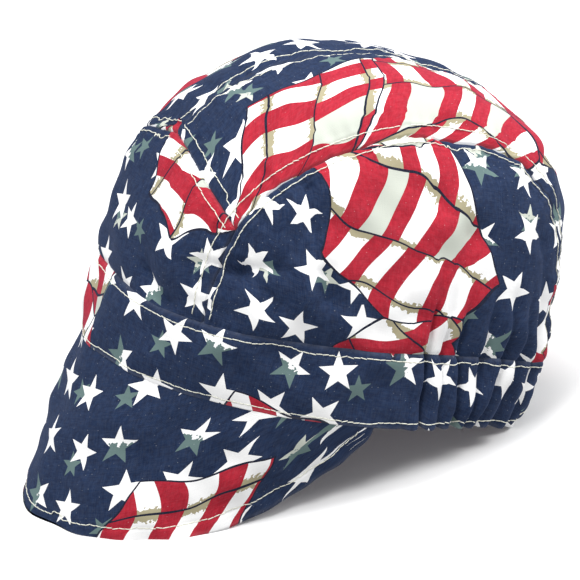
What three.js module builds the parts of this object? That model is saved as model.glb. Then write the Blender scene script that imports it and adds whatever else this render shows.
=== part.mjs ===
import * as THREE from 'three';

// A soft cotton work cap with a turned-down peak. The cap is sewn from a front panel, two crown
// panels that meet on the centre seam, two side panels, a headband with elastic at its back, and
// the peak.
//
// The pieces are made in the cap's own frame: the origin lies in the middle of the opening, level
// with the headband's lower edge, the peak points along -Y, the wearer's left is +X, and the crown
// rises along +Z. At the end the cap is pitched back until it stands on its peak and on the back
// of its headband. Lengths are in millimetres, angles in degrees.

// The opening, along the lower edge of the headband.
const OPENING_WIDTH = 164;
const OPENING_FRONT = 104.5;
const OPENING_BACK = 99.5;
const OPENING_SQUARENESS = 2.15;

// The crown, measured along its seams. It is a little narrower than the opening.
const CROWN_TUCK = 6;
const CROWN_WIDTH = OPENING_WIDTH - CROWN_TUCK;
const CROWN_FRONT = 99;
const CROWN_BACK = 102;
const CROWN_HEIGHT = 141.5;
const CROWN_SQUARENESS = 2.9;

// The seams of the crown. The side seam runs inwards of the crown's widest place, and the angles
// are those of the front panel's apex and corners and of the side panel's back corner.
const SIDE_SEAM_IN = 22;
const SIDE_SEAM_OUT = CROWN_WIDTH / 2 - SIDE_SEAM_IN;
const APEX_ANGLE = 49.7;
const CORNER_ANGLE = 45.5;
const BACK_CORNER_ANGLE = 123;

// The headband and how far it bulges between its edges.
const BAND_HEIGHT = 33;
const BAND_BELLY = 1.5;

// The peak: its length down the middle, its slope outwards there, and how its sides turn in.
const PEAK_LENGTH = 79;
const PEAK_FLARE = 9;
const PEAK_TURN_IN = 30;
const PEAK_HALF_ANGLE = 88.5;
const PEAK_TAPER = 1.45;
const PEAK_ROUNDNESS = 1.47;
const PEAK_BELLY = 1.5;
const PEAK_SPARE = 1.2;

// Cloth, fullness and folds.
const CLOTH_WALL = 1.6;
const BAND_WALL = 2.4;
const PEAK_WALL = 3;
const SEAM_GAP = 0.4;
const HALF_GAP = SEAM_GAP / 2;
const CROWN_PUFF = 2.8;
const SIDE_PUFF = 2.6;
const FRONT_PUFF = 2.8;
const PUFF_EDGE_POWER = 4;
const GATHER_DEPTH = 4;
const GATHER_FADE = 34;
const GATHER_ROUNDNESS = 0.6;
const DENT_DEPTH = 3.5;
const DENT_WIDTH = 6;
const DENT_CLEAR = 8;

// The centre seam from the front of the opening over the top to its back. along is a share of the
// crown's reach to the front (negative) or back, up is a share of its height.
const CENTRE_SEAM = [
  { along: -1, up: 0 },
  { along: -0.99, up: 0.31 },
  { along: -0.843, up: 0.704 },
  { along: -0.37, up: 0.963 },
  { along: 0.242, up: 0.989 },
  { along: 0.787, up: 0.814 },
  { along: 0.94, up: 0.398 },
  { along: 1, up: 0 },
];

// How far out the side seam runs, as a share of SIDE_SEAM_OUT, by angle up from the front.
const SIDE_SEAM = [
  { angle: 0, out: 1.05 },
  { angle: 45, out: 1.02 },
  { angle: 75, out: 1.02 },
  { angle: 107, out: 0.92 },
  { angle: 130, out: 0.92 },
  { angle: 155, out: 0.85 },
  { angle: 180, out: 0.8 },
];

// Valleys of the elastic gathers on each half of the band. around is the angle from the front,
// depth a share of GATHER_DEPTH, and lean the angle that the valley shifts from bottom to top.
const GATHERS = [
  { around: 96, depth: 0, lean: 0 },
  { around: 103, depth: 1, lean: -1 },
  { around: 109, depth: 0.5, lean: -2 },
  { around: 115, depth: 0.9, lean: -3 },
  { around: 121.5, depth: 0.8, lean: 2 },
  { around: 127, depth: 1, lean: 4 },
  { around: 134, depth: 0.7, lean: 1 },
  { around: 141, depth: 0.9, lean: -1 },
  { around: 149, depth: 0.7, lean: 1 },
  { around: 157, depth: 1, lean: -1 },
  { around: 165, depth: 0.7, lean: 1 },
  { around: 172.5, depth: 0.9, lean: 0 },
  { around: 180, depth: 0.6, lean: 0 },
];

// Creases pressed into the panels. Each runs between two places: around is the angle from the
// front and up a share of CROWN_HEIGHT. depth and width are shares of DENT_DEPTH and DENT_WIDTH.
const DENTS = [
  { from: { around: 36, up: 0.43 }, to: { around: 52, up: 0.44 }, depth: 0.9, width: 0.7 },
  { from: { around: 14, up: 0.34 }, to: { around: 29, up: 0.21 }, depth: 1, width: 1 },
  { from: { around: -22, up: 0.42 }, to: { around: -30, up: 0.27 }, depth: 0.7, width: 1 },
  { from: { around: -36, up: 0.5 }, to: { around: -48, up: 0.46 }, depth: 0.6, width: 0.7 },
  { from: { around: 136, up: 0.62 }, to: { around: 144, up: 0.5 }, depth: 0.8, width: 0.8 },
  { from: { around: -132, up: 0.55 }, to: { around: -142, up: 0.48 }, depth: 0.7, width: 0.8 },
];

// How finely each piece is divided, and the share of the band's columns round its plain front.
const STEPS = {
  crown: { along: 22, across: 16 },
  side: { along: 38, across: 9 },
  front: { along: 18, across: 9 },
  band: { along: 156, across: 3 },
  peak: { along: 40, across: 6 },
};
const BAND_FRONT_SHARE = 0.22;

// How often an interval is halved to solve for a place, and the angles up from the front and up
// from the opening that the places asked for lie below.
const BISECTIONS = 40;
const FOOT_LIMIT = 60;
const RISE_LIMIT = 80;

// Half the angle over which a direction along the opening is taken.
const NEAR = 0.01;

const DEG = Math.PI / 180;
const UP = new THREE.Vector3(0, 0, 1);
const CROWN_BASE = new THREE.Vector3(0, 0, BAND_HEIGHT);

const { lerp, clamp } = THREE.MathUtils;

// Distance from the X axis to the centre seam, by angle up from the front.
const centreReach = new THREE.CubicInterpolant(
  CENTRE_SEAM.map(seamAngle),
  CENTRE_SEAM.map((row) => seamPlace(row).length()),
  1,
);

const sideSeamShare = new THREE.CubicInterpolant(
  SIDE_SEAM.map((row) => row.angle),
  SIDE_SEAM.map((row) => row.out),
  1,
);

function seamPlace({ along, up }) {
  const reach = along < 0 ? CROWN_FRONT : CROWN_BACK;
  return new THREE.Vector2(-along * reach, up * CROWN_HEIGHT);
}

function seamAngle(row) {
  const place = seamPlace(row);
  return Math.atan2(place.y, place.x) / DEG;
}

// The point where the form meets a ray from the origin.
function onForm(ray) {
  const angle = Math.atan2(ray.z, -ray.y) / DEG;
  const reach = centreReach.evaluate(angle)[0];
  const outShare = Math.abs(ray.x) / (CROWN_WIDTH / 2);
  const alongShare = Math.hypot(ray.y, ray.z) / reach;
  const size = (outShare ** CROWN_SQUARENESS + alongShare ** CROWN_SQUARENESS)
    ** (1 / CROWN_SQUARENESS);
  return ray.clone().divideScalar(size);
}

// The form's point at a distance out from the centre seam and an angle up from the front.
function atSection(out, angle) {
  const outShare = Math.abs(out) / (CROWN_WIDTH / 2);
  const reach = centreReach.evaluate(angle)[0]
    * (1 - outShare ** CROWN_SQUARENESS) ** (1 / CROWN_SQUARENESS);
  return new THREE.Vector3(out, -reach * Math.cos(angle * DEG), reach * Math.sin(angle * DEG));
}

// The lowest value between low and high at which a rising function reaches a target.
function solve(rising, target, low, high) {
  for (let step = 0; step < BISECTIONS; step += 1) {
    const middle = (low + high) / 2;
    if (rising(middle) < target) low = middle;
    else high = middle;
  }
  return (low + high) / 2;
}

// A direction, by its angle from the front and its angle up from the opening.
function rayAt(around, rise) {
  return new THREE.Vector3(
    Math.sin(around * DEG) * Math.cos(rise * DEG),
    -Math.cos(around * DEG) * Math.cos(rise * DEG),
    Math.sin(rise * DEG),
  );
}

// The form's point at a height, by angle from the front.
function atHeight(height, around) {
  const rise = solve((angle) => onForm(rayAt(around, angle)).z, height, 0, RISE_LIMIT);
  return onForm(rayAt(around, rise));
}

// The side seam, by angle up from the front.
const sideSeam = (angle) => atSection(SIDE_SEAM_OUT * sideSeamShare.evaluate(angle)[0], angle);

// Where the seams reach the headband, as angles up from the front.
const frontFoot = solve((angle) => sideSeam(angle).z, BAND_HEIGHT, 0, FOOT_LIMIT);
const backFoot = 180 - solve((angle) => sideSeam(180 - angle).z, BAND_HEIGHT, 0, FOOT_LIMIT);
const centreFoot = 180
  - solve((angle) => atSection(0, 180 - angle).z, BAND_HEIGHT, 0, FOOT_LIMIT);

// The angle from the front at which a place stands.
const aroundOf = (place) => Math.atan2(place.x, -place.y) / DEG;
const frontFootAround = aroundOf(sideSeam(frontFoot));
const backFootAround = aroundOf(sideSeam(backFoot));

// The seam between the front panel and the crown panels, from share 0 at the apex to 1 where it
// meets the side seam.
function chevron(share) {
  const out = share * sideSeam(CORNER_ANGLE).x;
  return atSection(out, lerp(APEX_ANGLE, CORNER_ANGLE, share));
}

// Depth of the elastic gathers, 0 on a ridge, at an angle from the front and a height.
function gatherDepth(around, height) {
  const side = Math.abs(around);
  const climb = clamp(height / BAND_HEIGHT, 0, 1) - 0.5;
  const places = GATHERS.map((row) => row.around + row.lean * climb);
  const next = places.findIndex((place) => place > side);
  if (side <= places[0]) return 0;
  if (next < 0) return GATHERS.at(-1).depth * GATHER_DEPTH;
  const share = (side - places[next - 1]) / (places[next] - places[next - 1]);
  const valley = lerp(GATHERS[next - 1].depth, GATHERS[next].depth, share);
  const ridge = Math.sin(Math.PI * share) ** GATHER_ROUNDNESS;
  const fade = Math.exp(-((Math.max(height - BAND_HEIGHT, 0) / GATHER_FADE) ** 2));
  return valley * (1 - ridge) * fade * GATHER_DEPTH;
}

const dentLines = DENTS.map(({ from, to, depth, width }) => ({
  line: new THREE.Line3(
    atHeight(from.up * CROWN_HEIGHT, from.around),
    atHeight(to.up * CROWN_HEIGHT, to.around),
  ),
  depth: depth * DENT_DEPTH,
  width: width * DENT_WIDTH,
}));

// Depth of the creases at a place on the form. They fade out just above the headband.
function dentDepth(place) {
  const fade = clamp((place.z - BAND_HEIGHT) / DENT_CLEAR, 0, 1);
  return dentLines.reduce((sum, { line, depth, width }) => {
    const nearest = line.closestPointToPoint(place, true, new THREE.Vector3());
    return sum + fade * depth * Math.exp(-((nearest.distanceTo(place) / width) ** 2));
  }, 0);
}

// A closed sheet with a wall. outer and inner give a point for two shares, 0 to 1; a ring joins
// its last column to its first.
function sheetGeometry({ along, across }, outer, inner, ring = false) {
  const columns = ring ? along : along + 1;
  const rows = across + 1;
  const positions = [];
  for (const skin of [outer, inner]) {
    for (let column = 0; column < columns; column += 1) {
      for (let row = 0; row < rows; row += 1) {
        positions.push(...skin(column / along, row / across).toArray());
      }
    }
  }
  const index = [];
  const quad = (a, b, c, d) => index.push(a, b, c, a, c, d);
  const at = (skin, column, row) => (skin * columns + (column % columns)) * rows + row;
  for (let column = 0; column < along; column += 1) {
    for (let row = 0; row < across; row += 1) {
      const next = column + 1;
      quad(at(0, column, row), at(0, next, row), at(0, next, row + 1), at(0, column, row + 1));
      quad(at(1, column, row), at(1, column, row + 1), at(1, next, row + 1), at(1, next, row));
    }
    const next = column + 1;
    quad(at(1, column, 0), at(1, next, 0), at(0, next, 0), at(0, column, 0));
    quad(at(0, column, across), at(0, next, across), at(1, next, across), at(1, column, across));
  }
  for (let row = 0; row < across && !ring; row += 1) {
    quad(at(0, 0, row), at(0, 0, row + 1), at(1, 0, row + 1), at(1, 0, row));
    quad(at(1, along, row), at(1, along, row + 1), at(0, along, row + 1), at(0, along, row));
  }
  const geometry = new THREE.BufferGeometry();
  geometry.setAttribute('position', new THREE.Float32BufferAttribute(positions, 3));
  geometry.setIndex(index);
  return geometry;
}

// Mirrors a geometry to the wearer's other side and turns its faces out again.
function mirrored(geometry) {
  const copy = geometry.clone().scale(-1, 1, 1);
  const index = copy.getIndex();
  for (let corner = 0; corner < index.count; corner += 3) {
    const second = index.getX(corner + 1);
    index.setX(corner + 1, index.getX(corner + 2));
    index.setX(corner + 2, second);
  }
  return copy;
}

// A point inside four seams, blended from them and laid on the form.
function insideSeams({ bottom, top, start, end }, u, v) {
  const place = bottom(u).multiplyScalar(1 - v);
  place.addScaledVector(top(u), v);
  place.addScaledVector(start(v), 1 - u);
  place.addScaledVector(end(v), u);
  place.addScaledVector(bottom(0), -(1 - u) * (1 - v));
  place.addScaledVector(bottom(1), -u * (1 - v));
  place.addScaledVector(top(0), -(1 - u) * v);
  place.addScaledVector(top(1), -u * v);
  return onForm(place);
}

// Keeps a share of a seam to seam length clear of the seams at its two ends.
function inset(share, length, startGap, endGap) {
  return lerp(startGap / length, 1 - endGap / length, share);
}

// A panel of the crown, puffed out between its seams. gaps names what it keeps clear of each seam.
function panelGeometry(steps, seams, puff, gaps, side) {
  const length = seams.bottom(0.5).distanceTo(seams.top(0.5));
  const width = seams.start(0.5).distanceTo(seams.end(0.5));
  const skin = (depth) => (shareAlong, shareAcross) => {
    const u = inset(shareAlong, width, gaps.start, gaps.end);
    const v = inset(shareAcross, length, gaps.bottom, gaps.top);
    const place = insideSeams(seams, u, v);
    const outward = place.clone().sub(CROWN_BASE);
    outward.z = Math.max(outward.z, 0);
    outward.normalize();
    const fullness = (1 - (2 * u - 1) ** PUFF_EDGE_POWER) * (1 - (2 * v - 1) ** PUFF_EDGE_POWER);
    const seen = place.clone();
    seen.x *= side;
    const fold = gatherDepth(aroundOf(place), place.z) + dentDepth(seen);
    return place.addScaledVector(outward, puff * fullness - fold - depth);
  };
  return sheetGeometry(steps, skin(0), skin(CLOTH_WALL));
}

function crownGeometry(side) {
  const seams = {
    bottom: (u) => atHeight(BAND_HEIGHT, lerp(backFootAround, 180, u)),
    top: (u) => chevron(1 - u),
    start: (v) => sideSeam(lerp(backFoot, CORNER_ANGLE, v)),
    end: (v) => atSection(0, lerp(centreFoot, APEX_ANGLE, v)),
  };
  const gaps = { bottom: 0, top: HALF_GAP, start: HALF_GAP, end: HALF_GAP };
  const steps = { along: STEPS.crown.across, across: STEPS.crown.along };
  return panelGeometry(steps, seams, CROWN_PUFF, gaps, side);
}

function sideGeometry(side) {
  const seams = {
    bottom: (u) => atHeight(BAND_HEIGHT, lerp(frontFootAround, backFootAround, u)),
    top: (u) => sideSeam(lerp(CORNER_ANGLE, BACK_CORNER_ANGLE, u)),
    start: (v) => sideSeam(lerp(frontFoot, CORNER_ANGLE, v)),
    end: (v) => sideSeam(lerp(backFoot, BACK_CORNER_ANGLE, v)),
  };
  const gaps = { bottom: 0, top: HALF_GAP, start: HALF_GAP, end: HALF_GAP };
  return panelGeometry(STEPS.side, seams, SIDE_PUFF, gaps, side);
}

function frontGeometry() {
  const seams = {
    bottom: (u) => atHeight(BAND_HEIGHT, lerp(-frontFootAround, frontFootAround, u)),
    top: (u) => acrossCentre(chevron, 2 * u - 1),
    start: (v) => acrossCentre(() => sideSeam(lerp(frontFoot, CORNER_ANGLE, v)), -1),
    end: (v) => sideSeam(lerp(frontFoot, CORNER_ANGLE, v)),
  };
  const gaps = { bottom: 0, top: HALF_GAP, start: HALF_GAP, end: HALF_GAP };
  return panelGeometry(STEPS.front, seams, FRONT_PUFF, gaps, 1);
}

// A seam of the wearer's left half, carried to the right half where the share is negative.
function acrossCentre(seam, share) {
  const place = seam(Math.abs(share));
  place.x *= Math.sign(share) || 1;
  return place;
}

// The opening's oval, by angle from the front, at the headband's lower edge.
function opening(around) {
  const along = -Math.cos(around * DEG);
  const out = Math.sin(around * DEG);
  const reach = along < 0 ? OPENING_FRONT : OPENING_BACK;
  const size = (Math.abs(along / reach) ** OPENING_SQUARENESS
    + Math.abs(out / (OPENING_WIDTH / 2)) ** OPENING_SQUARENESS) ** (-1 / OPENING_SQUARENESS);
  return new THREE.Vector3(out * size, along * size, 0);
}

// The angle from the front of a share of the way round the band, starting at the front. Few of the
// band's columns stand round its plain front, and many round its gathered back.
function bandAround(share) {
  const plain = GATHERS[0].around;
  const gathered = 180 - plain;
  const backShare = 1 - BAND_FRONT_SHARE;
  const toBack = Math.abs(2 * share - 1);
  const fromBack = toBack < backShare
    ? (toBack / backShare) * gathered
    : gathered + ((toBack - backShare) / BAND_FRONT_SHARE) * plain;
  return share < 0.5 ? 180 - fromBack : fromBack - 180;
}

function bandGeometry() {
  const skin = (depth) => (u, v) => {
    const around = bandAround(u);
    const height = v * (BAND_HEIGHT - SEAM_GAP);
    const top = atHeight(BAND_HEIGHT, around);
    const place = opening(around).lerp(top, height / BAND_HEIGHT);
    place.z = height;
    const inward = new THREE.Vector3(-place.x, -place.y, 0).normalize();
    const belly = BAND_BELLY * 4 * v * (1 - v);
    return place.addScaledVector(inward, gatherDepth(around, height) - belly + depth);
  };
  return sheetGeometry(STEPS.band, skin(0), skin(BAND_WALL), true);
}

// The peak's length at an angle from the front.
function peakLength(around) {
  const share = Math.min(Math.abs(around) / PEAK_HALF_ANGLE, 1);
  const taper = (1 - share ** PEAK_TAPER) ** (1 / PEAK_ROUNDNESS);
  return (PEAK_LENGTH + PEAK_SPARE) * taper + PEAK_WALL / 2;
}

function peakGeometry() {
  const skin = (depth) => (u, v) => {
    const around = PEAK_HALF_ANGLE * Math.sin((Math.PI / 2) * (2 * u - 1));
    const root = opening(around);
    const ahead = opening(around + NEAR).sub(opening(around - NEAR));
    const outward = ahead.cross(UP).normalize();
    const slope = (PEAK_FLARE - PEAK_TURN_IN * (1 - Math.cos(around * DEG))) * DEG;
    const down = (1 - v) * peakLength(around);
    const belly = PEAK_BELLY * 4 * v * (1 - v) * Math.cos(around * DEG);
    root.addScaledVector(outward, down * Math.sin(slope) + belly - depth);
    root.z = -SEAM_GAP - down * Math.cos(slope);
    return root;
  };
  return sheetGeometry(STEPS.peak, skin(0), skin(PEAK_WALL));
}

// The pieces, each in the printed cloth's colour seen from afar.
const pieces = [
  { name: 'crown_front', geometry: frontGeometry(), color: 0x6d4256 },
  { name: 'crown_left', geometry: crownGeometry(1), color: 0x4a4f6d },
  { name: 'crown_right', geometry: mirrored(crownGeometry(-1)), color: 0x4a4f6d },
  { name: 'side_left', geometry: sideGeometry(1), color: 0x3b4769 },
  { name: 'side_right', geometry: mirrored(sideGeometry(-1)), color: 0x3b4769 },
  { name: 'headband', geometry: bandGeometry(), color: 0x2f3c62 },
  { name: 'peak', geometry: peakGeometry(), color: 0x34406a },
];

// The cap stands pitched back by the angle between its opening and the surface, on the tip of the
// peak and the back of the headband.
const peakDrop = SEAM_GAP + PEAK_LENGTH * Math.cos(PEAK_FLARE * DEG);
const peakReach = OPENING_FRONT + PEAK_LENGTH * Math.sin(PEAK_FLARE * DEG);
const pitch = Math.atan2(peakDrop, peakReach + OPENING_BACK);
const backHeight = -OPENING_BACK * Math.sin(pitch);

// Stands a geometry on the surface. Cloth that would reach below the surface is pressed flat on it.
function stand(geometry) {
  geometry.rotateX(-pitch);
  geometry.translate(0, 0, -backHeight);
  const position = geometry.getAttribute('position');
  for (let point = 0; point < position.count; point += 1) {
    position.setZ(point, Math.max(position.getZ(point), 0));
  }
  return geometry;
}

const cap = new THREE.Group();
for (const { name, geometry, color } of pieces) {
  const material = new THREE.MeshStandardMaterial({ color, roughness: 0.9, metalness: 0 });
  const mesh = new THREE.Mesh(stand(geometry), material);
  mesh.name = name;
  cap.add(mesh);
}

// The origin is on the surface, under the middle of the cap's box.
const middle = new THREE.Box3().setFromObject(cap).getCenter(new THREE.Vector3());
cap.position.set(-middle.x, -middle.y, 0);

export default cap;
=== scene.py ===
import math

import bpy
import numpy as np
from mathutils import Matrix, Vector
from mathutils.bvhtree import BVHTree


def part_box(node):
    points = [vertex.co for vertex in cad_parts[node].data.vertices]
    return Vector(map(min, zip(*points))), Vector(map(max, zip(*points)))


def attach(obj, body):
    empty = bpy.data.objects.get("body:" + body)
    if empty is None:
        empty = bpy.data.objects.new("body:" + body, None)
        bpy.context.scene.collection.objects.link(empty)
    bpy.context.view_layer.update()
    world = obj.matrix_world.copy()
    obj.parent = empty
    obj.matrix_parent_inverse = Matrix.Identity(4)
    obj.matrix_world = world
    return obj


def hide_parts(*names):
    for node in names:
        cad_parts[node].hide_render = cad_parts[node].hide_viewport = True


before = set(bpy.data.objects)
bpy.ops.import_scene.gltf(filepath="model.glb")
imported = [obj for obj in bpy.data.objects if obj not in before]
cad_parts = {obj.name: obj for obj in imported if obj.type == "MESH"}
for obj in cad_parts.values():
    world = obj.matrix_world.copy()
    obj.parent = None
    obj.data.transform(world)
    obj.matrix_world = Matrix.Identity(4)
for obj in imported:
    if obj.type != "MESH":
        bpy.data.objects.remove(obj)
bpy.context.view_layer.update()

# A soft cotton welding cap. The cloth pieces are made in the cap's own frame, in millimetres and
# degrees: the origin is in the middle of the opening, the peak points along -Y, the wearer's left
# is +X and the crown rises along +Z. to_frame() then pitches them back onto the floor, where the
# packed cap stands, in metres.

MM = 0.001

# The form of the cap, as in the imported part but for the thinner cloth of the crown.
OPENING_WIDTH = 164
OPENING_FRONT = 104.5
OPENING_BACK = 99.5
OPENING_SQUARENESS = 2.15
CROWN_WIDTH = 158
CROWN_FRONT = 99
CROWN_BACK = 102
CROWN_HEIGHT = 141.5
CROWN_SQUARENESS = 2.9
SIDE_SEAM_OUT = 57
APEX_ANGLE = 49.7
CORNER_ANGLE = 45.5
BACK_CORNER_ANGLE = 123
BAND_HEIGHT = 33
BAND_BELLY = 1.5
PEAK_LENGTH = 79
PEAK_FLARE = 9
PEAK_TURN_IN = 30
PEAK_HALF_ANGLE = 88.5
PEAK_TAPER = 1.45
PEAK_ROUNDNESS = 1.47
PEAK_BELLY = 1.5
PEAK_SPARE = 1.2
PEAK_WALL = 3
BAND_WALL = 2.4
CLOTH_WALL = 1.2
SEAM_GAP = 0.4
PUFF = {"crown": 2.8, "side": 2.6, "front": 2.8}
PUFF_EDGE_POWER = 4

# The centre seam: shares of the crown's reach along, and of its height.
CENTRE_SEAM = [
    (-1, 0),
    (-0.99, 0.31),
    (-0.843, 0.704),
    (-0.37, 0.963),
    (0.242, 0.989),
    (0.787, 0.814),
    (0.94, 0.398),
    (1, 0),
]

# The side seam: angle up from the front, and share of SIDE_SEAM_OUT.
SIDE_SEAM = [(0, 1.05), (45, 1.02), (75, 1.02), (107, 0.92), (130, 0.92), (155, 0.85), (180, 0.8)]

# The elastic gathers: how far up the shallowest and the deepest fade, their ridges' roundness on
# the band and above it, the sag towards the band's middle, and the lean, but for LEAN_ENDS.
GATHER_DEPTH = 5.8
GATHER_FADE = (15, 24)
GATHER_ROUNDNESS = (0.6, 1.1)
GATHER_SOFTENING = 15
SAG_SHARE = 0.28
FOOT_SAG_SHARE = 0.45
SAG_REACH = 9
GATHER_LEAN = 1.7
LEAN_ENDS = (6, 8)

# The valleys of the gathers: angle from the front, share of GATHER_DEPTH, and lean up the band.
GATHERS = [
    (96, 0, 0),
    (103, 1, -1),
    (109, 0.5, -2),
    (115, 0.9, -3),
    (121.5, 0.8, 2),
    (127, 1, 4),
    (134, 0.7, 1),
    (141, 0.9, -1),
    (149, 0.7, 1),
    (157, 1, -1),
    (165, 0.7, 1),
    (172.5, 0.9, 0),
    (180, 0.6, 0),
]

# The folds: from and to as angle from the front and share of CROWN_HEIGHT, depth, width to the
# left and to the right of the way from one to the other, and roundness, 1 for a crisp crease. A
# depth below 0 is a ridge. They fade in over FOLD_CLEAR above the band.
FOLD_CLEAR = 2.5
FOLDS = [
    ((32, 0.41), (41, 0.42), 4.2, 3, 5.5, 1.2),
    ((42, 0.424), (51, 0.45), 5.8, 3.6, 5.5, 1.1),
    ((15, 0.308), (24.3, 0.244), 5, 4.5, 6, 1.25),
    ((53, 0.69), (56.8, 0.575), 3.4, 5, 3, 1.4),
    ((63.5, 0.45), (65.8, 0.375), 3.4, 5, 3, 1.4),
    ((57.5, 0.44), (61.5, 0.37), -2.2, 3.5, 7, 1.6),
    ((46.8, 0.39), (54, 0.34), 2.6, 4, 5, 1.4),
    ((69.4, 0.3), (70.5, 0.25), 1.6, 3, 3, 1.5),
    ((48.5, 0.72), (52, 0.69), 1.8, 3.5, 3.5, 1.5),
    ((72, 0.58), (80, 0.36), 1.2, 6, 4, 1.6),
    ((90, 0.56), (93, 0.34), 1.4, 4, 6, 1.6),
    ((112, 0.6), (109, 0.38), 2.4, 4, 5, 1.4),
    ((125, 0.5), (122, 0.36), 1.8, 5, 4, 1.4),
    ((138, 0.6), (140, 0.42), 2, 4, 5, 1.5),
    ((-22, 0.42), (-30, 0.27), 2.8, 5, 6, 1.5),
    ((-36, 0.5), (-50, 0.46), 3, 3.5, 5, 1.2),
    ((-58, 0.6), (-66, 0.36), 1.8, 5, 6, 1.5),
    ((-110, 0.58), (-114, 0.36), 2.2, 5, 4, 1.4),
    ((-132, 0.55), (-142, 0.45), 2.2, 4, 5, 1.4),
]

# How far the cap settles beside its back, by angle from the front, fading up the crown.
SETTLING = [(116, 0), (130, 1.5), (140, 4.4), (148, 6), (156, 3.2), (166, 0.8), (176, 0)]
SETTLING_FADE = 34

# The sewing of the crown: rows of stitches beside the seams, whose allowances lift the cloth out
# to ALLOWANCE, and puckers of two periods, the first of which wanders.
ROW_OFFSET = 4.3
ROW_DIP = 0.42
ROW_DIP_WIDTH = 0.8
ALLOWANCE = 6.5
ALLOWANCE_RISE = 0.5
ALLOWANCE_STEEPNESS = 2.2
SEAM_DIP = 0.9
SEAM_DIP_WIDTH = 0.5
BAND_SEAM_DIP = 0.5
BAND_SEAM_DIP_WIDTH = 1.2
PUCKER_DEPTH = 0.28
PUCKER_WIDTH = 7
PUCKER_PERIODS = (7.3, 11.9)
PUCKER_WANDER = 1.3
PUCKER_WANDER_PERIODS = 3
SECOND_PUCKER_SHARE = 0.7
PUCKER_SHIFT = 40

# The sewing of the headband, as two values where it changes from the front to the back, and the
# angles between which it does. Puckers: the lengths of a radian of their wave and of its wander,
# and how far it wanders, in radians.
BAND_ROW = 3
BAND_FOOT_ROW = (1.5, 2.7)
BAND_FOOT_ROW_TURN = (80, 100)
BAND_ROW_DIP = 0.175
BAND_SPARE = 0.35
BAND_ROLL = 0.9
BAND_ROLL_WIDTH = 1.3
BAND_PUCKERS = (1.9, 5.3, 0.9)
BAND_PUCKER_DEPTH = (0.14, 0.39)
BAND_PUCKER_TURN = (92, 100)
BAND_PUCKER_WIDTH = 9

# The sewing of the peak, whose relief fades where the peak is shorter than PEAK_CALM_LENGTH.
PEAK_ROW = 6
PEAK_ROW_DIP = 0.35
PEAK_PUCKERS = (1.3, 4.7, 1)
PEAK_PUCKER_DEPTH = 0.14
PEAK_PUCKER_WIDTH = 5
PEAK_CALM_LENGTH = 20

# The soft relief of worn cloth, and how far its seams and edges are worn.
RELIEF_SEED = 11
RELIEF_WAVES = 26
RELIEF_LENGTHS = (14, 52)
RELIEF_DEPTH = 1.05
SEAM_WEAR_WIDTH = 0.8
EDGE_WEAR_WIDTH = 1.2

# The grid of each piece, along it and up it: the number of steps, and how they crowd to its edges.
CROWN_GRID = ((84, 0.85), (330, 0.6))
SIDE_GRID = ((230, 0.75), (126, 0.8))
FRONT_GRID = ((140, 0.8), (90, 0.85))
PEAK_GRID = ((230, 0.2), (80, 0.6))
BAND_STEPS_ROUND = 720
BAND_STEPS_UP = (44, 0.6)

# How far the edges bulge, in half walls, and the points that turn each edge.
PANEL_BULGE = 0.6
BAND_BULGE = 0.45
PEAK_BULGE = 1
EDGE_STEPS = 4

# The solver's highest angles, the turn that a slope is taken over, the points of a seam, and the
# points measured at a time.
RISE_LIMIT = 80
FOOT_LIMIT = 60
SMALL_TURN = 0.01
SEAM_POINTS = 400
BATCH = 4096


def steps(count, crowding):
    """Shares from 0 to 1, closer together near both ends."""
    even = np.linspace(0, 1, count + 1)
    return even - crowding * np.sin(2 * np.pi * even) / (2 * np.pi)


def mix(a, b, share):
    """The value that lies a share of the way from a to b."""
    return a + (b - a) * share


def ramp(value, start, end):
    """0 up to the start, 1 from the end on, and even between them."""
    return np.clip((value - start) / (end - start), 0, 1)


def arch(share):
    """0 at both ends and 1 in the middle."""
    return 4 * share * (1 - share)


def bell(distance, width):
    """1 at no distance, falling smoothly away over a width."""
    return np.exp(-((distance / width) ** 2))


def stacked(x, y, z):
    """Points from their coordinates."""
    return np.stack(np.broadcast_arrays(x, y, z), axis=-1).astype(float)


def unit(vectors):
    """Vectors of length 1."""
    return vectors / np.linalg.norm(vectors, axis=-1, keepdims=True)


def around_of(place):
    """Angle from the front of points of the cap's frame."""
    return np.degrees(np.arctan2(place[..., 0], -place[..., 1]))


def lengths_along(grid, axis=0):
    """How far points lie from the first one of their line, along an axis of a grid."""
    spans = np.linalg.norm(np.diff(grid, axis=axis), axis=-1)
    return np.insert(np.cumsum(spans, axis=axis), 0, 0, axis=axis)


def smooth_table(rows):
    """A smooth curve through the rows of a table, level beyond its ends."""
    xs, ys = np.array(rows, float).T
    secants = np.diff(ys) / np.diff(xs)
    middle = (secants[1:] + secants[:-1]) / 2
    slopes = np.concatenate([secants[:1], middle, secants[-1:]])

    def value(x):
        x = np.clip(x, xs[0], xs[-1])
        left = np.clip(np.searchsorted(xs, x, side="right") - 1, 0, len(xs) - 2)
        width = xs[left + 1] - xs[left]
        t = (x - xs[left]) / width
        rise = t * t * (3 - 2 * t)
        start_pull = t * (1 - t) ** 2 * width * slopes[left]
        end_pull = t * t * (t - 1) * width * slopes[left + 1]
        return (1 - rise) * ys[left] + rise * ys[left + 1] + start_pull + end_pull

    return value


def seam_row(along, up):
    """Angle up from the front and reach of one row of the centre seam."""
    reach = CROWN_FRONT if along < 0 else CROWN_BACK
    forward = -along * reach
    height = up * CROWN_HEIGHT
    return math.degrees(math.atan2(height, forward)), math.hypot(forward, height)


centre_reach = smooth_table([seam_row(*row) for row in CENTRE_SEAM])
side_share = smooth_table(SIDE_SEAM)
settling = smooth_table(SETTLING)


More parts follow.
